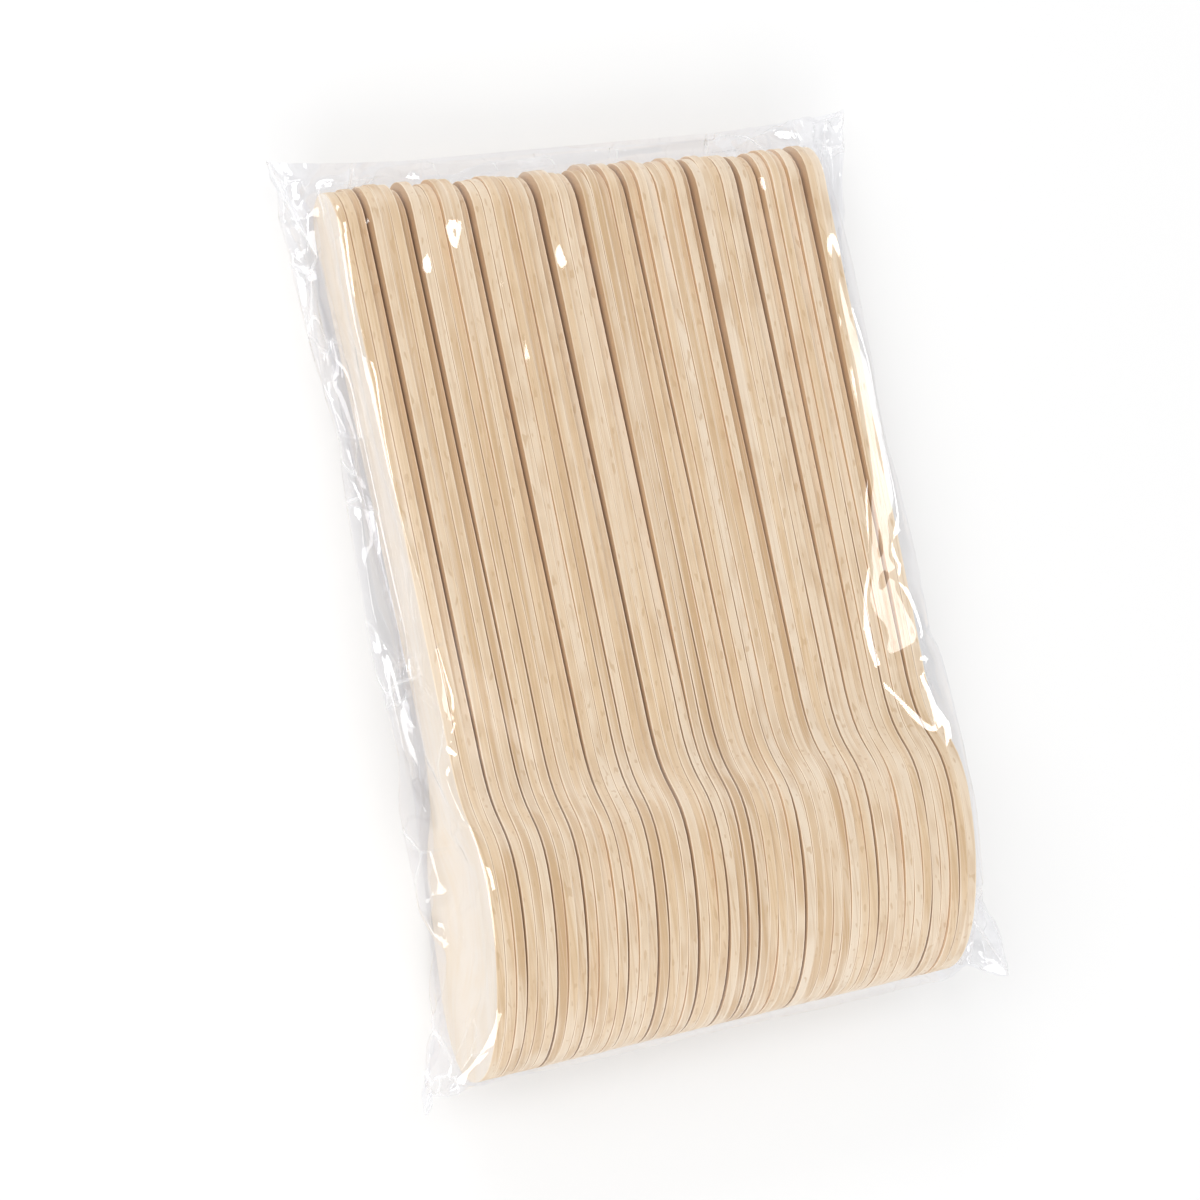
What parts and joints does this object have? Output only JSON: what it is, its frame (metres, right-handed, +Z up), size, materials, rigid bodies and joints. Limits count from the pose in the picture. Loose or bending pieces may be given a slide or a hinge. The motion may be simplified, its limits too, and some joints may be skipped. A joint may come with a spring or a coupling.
{
  "type": "wooden spoon pack",
  "caption": "Clear film bag holding a nested stack of pressed birch spoons that stand on edge, lying flat as on a counter or in a box.",
  "frame": {"origin": "centre of the pack's box, on the surface that it lies on", "axes": "+X through the stack from the first spoon to the last, +Y from the bowl tips to the handle ends, +Z up"},
  "size_m": [0.123, 0.1712, 0.0348],
  "materials": {
    "birch": "unfinished, sanded veneer",
    "film": "clear, glossy"
  },
  "bodies": {
    "root": {"spoon_01": "birch", "spoon_02": "birch", "spoon_03": "birch", "spoon_04": "birch", "spoon_05": "birch", "spoon_06": "birch", "spoon_07": "birch", "spoon_08": "birch", "spoon_09": "birch", "spoon_10": "birch", "spoon_11": "birch", "spoon_12": "birch", "spoon_13": "birch", "spoon_14": "birch", "spoon_15": "birch", "spoon_16": "birch", "spoon_17": "birch", "spoon_18": "birch", "spoon_19": "birch", "spoon_20": "birch", "spoon_21": "birch", "spoon_22": "birch", "spoon_23": "birch", "spoon_24": "birch", "spoon_25": "birch", "spoon_26": "birch", "spoon_27": "birch", "spoon_28": "birch", "spoon_29": "birch", "spoon_30": "birch", "spoon_31": "birch", "spoon_32": "birch", "spoon_33": "birch", "spoon_34": "birch", "spoon_35": "birch", "spoon_36": "birch", "spoon_37": "birch", "spoon_38": "birch", "spoon_39": "birch", "spoon_40": "birch", "spoon_41": "birch", "spoon_42": "birch", "spoon_43": "birch", "spoon_44": "birch", "spoon_45": "birch", "spoon_46": "birch", "spoon_47": "birch", "spoon_48": "birch", "spoon_49": "birch", "spoon_50": "birch", "film_bag": "film"}
  },
  "joints": []
}
